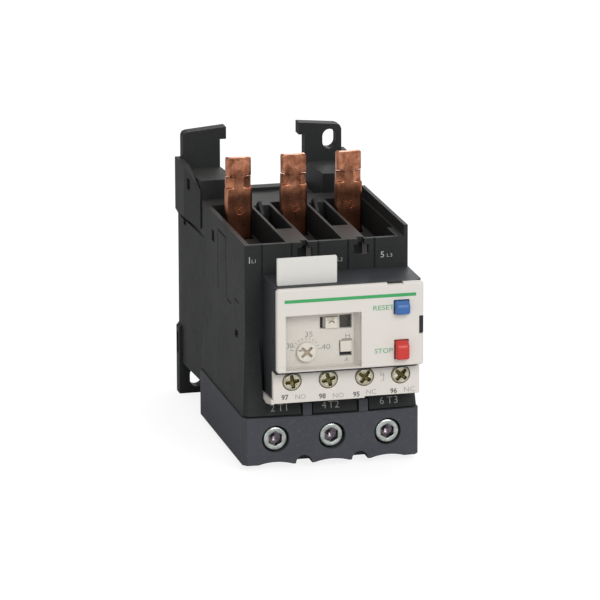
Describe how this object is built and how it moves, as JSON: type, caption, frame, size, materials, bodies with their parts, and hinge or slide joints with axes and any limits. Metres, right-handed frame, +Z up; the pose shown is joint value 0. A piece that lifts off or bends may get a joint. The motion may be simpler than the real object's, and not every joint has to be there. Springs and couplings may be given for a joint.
{
  "type": "thermal overload relay",
  "caption": "Three-pole thermal overload relay with copper blades, setting dial behind a clear flap, reset and stop buttons, and screw terminals.",
  "frame": {"origin": "on the surface it stands on, under the middle of the whole relay", "axes": "+X to the right seen from the front, +Y from the front cover to the rear plate, +Z up along the copper blades"},
  "size_m": [0.055, 0.1096, 0.0865],
  "materials": {
    "casing_plastic": "fine moulded texture",
    "shroud_plastic": "fine moulded texture",
    "module_plastic": "satin",
    "cover_plastic": "satin",
    "marker_plastic": "satin",
    "clear_plastic": "clear",
    "dial_plastic": "satin",
    "reset_plastic": "semi-gloss",
    "stop_plastic": "semi-gloss",
    "flag_plastic": "satin",
    "spring_steel": "drawn wire",
    "copper": "rolled copper",
    "bimetal_metal": "rolled strip",
    "resistance_wire": "drawn wire",
    "zinc_steel": "zinc plated",
    "yellow_zinc": "yellow zinc plated",
    "contact_brass": "stamped",
    "gear_plastic": "moulded"
  },
  "bodies": {
    "frame_body": {"main_casing": "casing_plastic", "base_tray": "casing_plastic", "terminal_shroud": "shroud_plastic", "rear_plate": "casing_plastic", "module_casing": "module_plastic", "front_cover": "cover_plastic", "terminal_strip": "cover_plastic", "marker_plate": "marker_plastic", "reset_spring": "spring_steel", "stop_spring": "spring_steel", "lever_pin": "spring_steel", "blade_1": "copper", "bimetal_1": "bimetal_metal", "heater_1": "resistance_wire", "output_bar_1": "copper", "blade_2": "copper", "bimetal_2": "bimetal_metal", "heater_2": "resistance_wire", "output_bar_2": "copper", "blade_3": "copper", "bimetal_3": "bimetal_metal", "heater_3": "resistance_wire", "output_bar_3": "copper", "contact_plate_97": "contact_brass", "contact_plate_98": "contact_brass", "contact_plate_95": "contact_brass", "contact_plate_96": "contact_brass"},
    "reset_button": {"reset_button": "reset_plastic"},
    "stop_button": {"stop_button": "stop_plastic"},
    "test_slider": {"test_slider": "dial_plastic"},
    "mode_selector": {"mode_selector": "dial_plastic"},
    "setting_dial": {"setting_dial": "dial_plastic"},
    "setting_flap": {"setting_flap": "clear_plastic"},
    "push_slide": {"push_slide": "gear_plastic"},
    "hold_slide": {"hold_slide": "gear_plastic"},
    "trip_lever": {"trip_lever": "gear_plastic", "compensating_strip": "bimetal_metal"},
    "contact_carriage": {"contact_carriage": "gear_plastic", "nc_bridge": "contact_brass", "no_bridge": "contact_brass"},
    "trip_flag": {"trip_flag": "flag_plastic"},
    "clamp_screw_1": {"clamp_screw_1": "zinc_steel"},
    "clamp_cage_1": {"clamp_cage_1": "zinc_steel"},
    "clamp_screw_2": {"clamp_screw_2": "zinc_steel"},
    "clamp_cage_2": {"clamp_cage_2": "zinc_steel"},
    "clamp_screw_3": {"clamp_screw_3": "zinc_steel"},
    "clamp_cage_3": {"clamp_cage_3": "zinc_steel"},
    "aux_clamp_97": {"aux_clamp_97": "zinc_steel"},
    "aux_screw_97": {"aux_screw_97": "yellow_zinc"},
    "aux_clamp_98": {"aux_clamp_98": "zinc_steel"},
    "aux_screw_98": {"aux_screw_98": "yellow_zinc"},
    "aux_clamp_95": {"aux_clamp_95": "zinc_steel"},
    "aux_screw_95": {"aux_screw_95": "yellow_zinc"},
    "aux_clamp_96": {"aux_clamp_96": "zinc_steel"},
    "aux_screw_96": {"aux_screw_96": "yellow_zinc"}
  },
  "joints": [
    {"name": "reset_press", "type": "slide", "parent": "frame_body", "child": "reset_button", "axis": [0, 1, 0], "range_m": [0, 0.003], "stiffness_N_per_m": 300, "springref_m": -0.002, "deforming": ["reset_spring"]},
    {"name": "stop_press", "type": "slide", "parent": "frame_body", "child": "stop_button", "axis": [0, 1, 0], "range_m": [0, 0.0025], "stiffness_N_per_m": 300, "springref_m": -0.002, "deforming": ["stop_spring"]},
    {"name": "test_slide", "type": "slide", "parent": "frame_body", "child": "test_slider", "axis": [-1, 0, 0], "range_m": [0, 0.0014], "stiffness_N_per_m": 300, "springref_m": -0.001},
    {"name": "mode_slide", "type": "slide", "parent": "frame_body", "child": "mode_selector", "axis": [0, 0, -1], "range_m": [0, 0.0013]},
    {"name": "dial_turn", "type": "hinge", "parent": "frame_body", "child": "setting_dial", "pos_m": [-0.01, -0.0488, 0.039], "axis": [0, 1, 0], "range_deg": [0, 146]},
    {"name": "flap_open", "type": "hinge", "parent": "frame_body", "child": "setting_flap", "pos_m": [-0.0055, -0.0516, 0.0356], "axis": [1, 0, 0], "range_deg": [0, 100]},
    {"name": "slide_push", "type": "slide", "parent": "frame_body", "child": "push_slide", "axis": [1, 0, 0], "range_m": [0, 0.002], "stiffness_N_per_m": 150, "springref_m": -0.0005},
    {"name": "slide_hold", "type": "slide", "parent": "frame_body", "child": "hold_slide", "axis": [1, 0, 0], "range_m": [0, 0.002]},
    {"name": "lever_swing", "type": "hinge", "parent": "frame_body", "child": "trip_lever", "pos_m": [0.008, -0.0202, 0.0265], "axis": [0, 0, -1], "range_deg": [0, 7.5]},
    {"name": "carriage_slide", "type": "slide", "parent": "frame_body", "child": "contact_carriage", "axis": [0, -1, 0], "range_m": [0, 0.0013]},
    {"name": "flag_rise", "type": "slide", "parent": "frame_body", "child": "trip_flag", "axis": [0, 0, 1], "range_m": [0, 0.0025]},
    {"name": "clamp_turn_1", "type": "hinge", "parent": "frame_body", "child": "clamp_screw_1", "pos_m": [-0.0175, -0.0322, 0.0098], "axis": [0, 1, 0], "range_deg": [0, 1800]},
    {"name": "cage_feed_1", "type": "slide", "parent": "frame_body", "child": "clamp_cage_1", "axis": [0, -1, 0], "range_m": [0, 0.004]},
    {"name": "clamp_turn_2", "type": "hinge", "parent": "frame_body", "child": "clamp_screw_2", "pos_m": [0, -0.0322, 0.0098], "axis": [0, 1, 0], "range_deg": [0, 1800]},
    {"name": "cage_feed_2", "type": "slide", "parent": "frame_body", "child": "clamp_cage_2", "axis": [0, -1, 0], "range_m": [0, 0.004]},
    {"name": "clamp_turn_3", "type": "hinge", "parent": "frame_body", "child": "clamp_screw_3", "pos_m": [0.0175, -0.0322, 0.0098], "axis": [0, 1, 0], "range_deg": [0, 1800]},
    {"name": "cage_feed_3", "type": "slide", "parent": "frame_body", "child": "clamp_cage_3", "axis": [0, -1, 0], "range_m": [0, 0.004]},
    {"name": "aux_feed_97", "type": "slide", "parent": "frame_body", "child": "aux_clamp_97", "axis": [0, 1, 0], "range_m": [0, 0.0024]},
    {"name": "aux_turn_97", "type": "hinge", "parent": "aux_clamp_97", "child": "aux_screw_97", "pos_m": [-0.01418, -0.0452, 0.0298], "axis": [0, 1, 0], "range_deg": [0, 1440]},
    {"name": "aux_feed_98", "type": "slide", "parent": "frame_body", "child": "aux_clamp_98", "axis": [0, 1, 0], "range_m": [0, 0.0024]},
    {"name": "aux_turn_98", "type": "hinge", "parent": "aux_clamp_98", "child": "aux_screw_98", "pos_m": [-0.00293, -0.0452, 0.0298], "axis": [0, 1, 0], "range_deg": [0, 1440]},
    {"name": "aux_feed_95", "type": "slide", "parent": "frame_body", "child": "aux_clamp_95", "axis": [0, 1, 0], "range_m": [0, 0.0024]},
    {"name": "aux_turn_95", "type": "hinge", "parent": "aux_clamp_95", "child": "aux_screw_95", "pos_m": [0.00833, -0.0452, 0.0298], "axis": [0, 1, 0], "range_deg": [0, 1440]},
    {"name": "aux_feed_96", "type": "slide", "parent": "frame_body", "child": "aux_clamp_96", "axis": [0, 1, 0], "range_m": [0, 0.0024]},
    {"name": "aux_turn_96", "type": "hinge", "parent": "aux_clamp_96", "child": "aux_screw_96", "pos_m": [0.01957, -0.0452, 0.0298], "axis": [0, 1, 0], "range_deg": [0, 1440]}
  ],
  "couplings": [
    {"joint": "slide_hold", "follows": "slide_push", "ratio": 1},
    {"joint": "lever_swing", "follows": "slide_push", "rad_per_m": 64.5},
    {"joint": "carriage_slide", "follows": "slide_push", "ratio": 0.65},
    {"joint": "flag_rise", "follows": "slide_push", "ratio": 1.25},
    {"joint": "clamp_turn_1", "follows": "cage_feed_1", "rad_per_m": 7853.2},
    {"joint": "clamp_turn_2", "follows": "cage_feed_2", "rad_per_m": 7853.2},
    {"joint": "clamp_turn_3", "follows": "cage_feed_3", "rad_per_m": 7853.2},
    {"joint": "aux_turn_97", "follows": "aux_feed_97", "rad_per_m": 10471},
    {"joint": "aux_turn_98", "follows": "aux_feed_98", "rad_per_m": 10471},
    {"joint": "aux_turn_95", "follows": "aux_feed_95", "rad_per_m": 10471},
    {"joint": "aux_turn_96", "follows": "aux_feed_96", "rad_per_m": 10471}
  ]
}
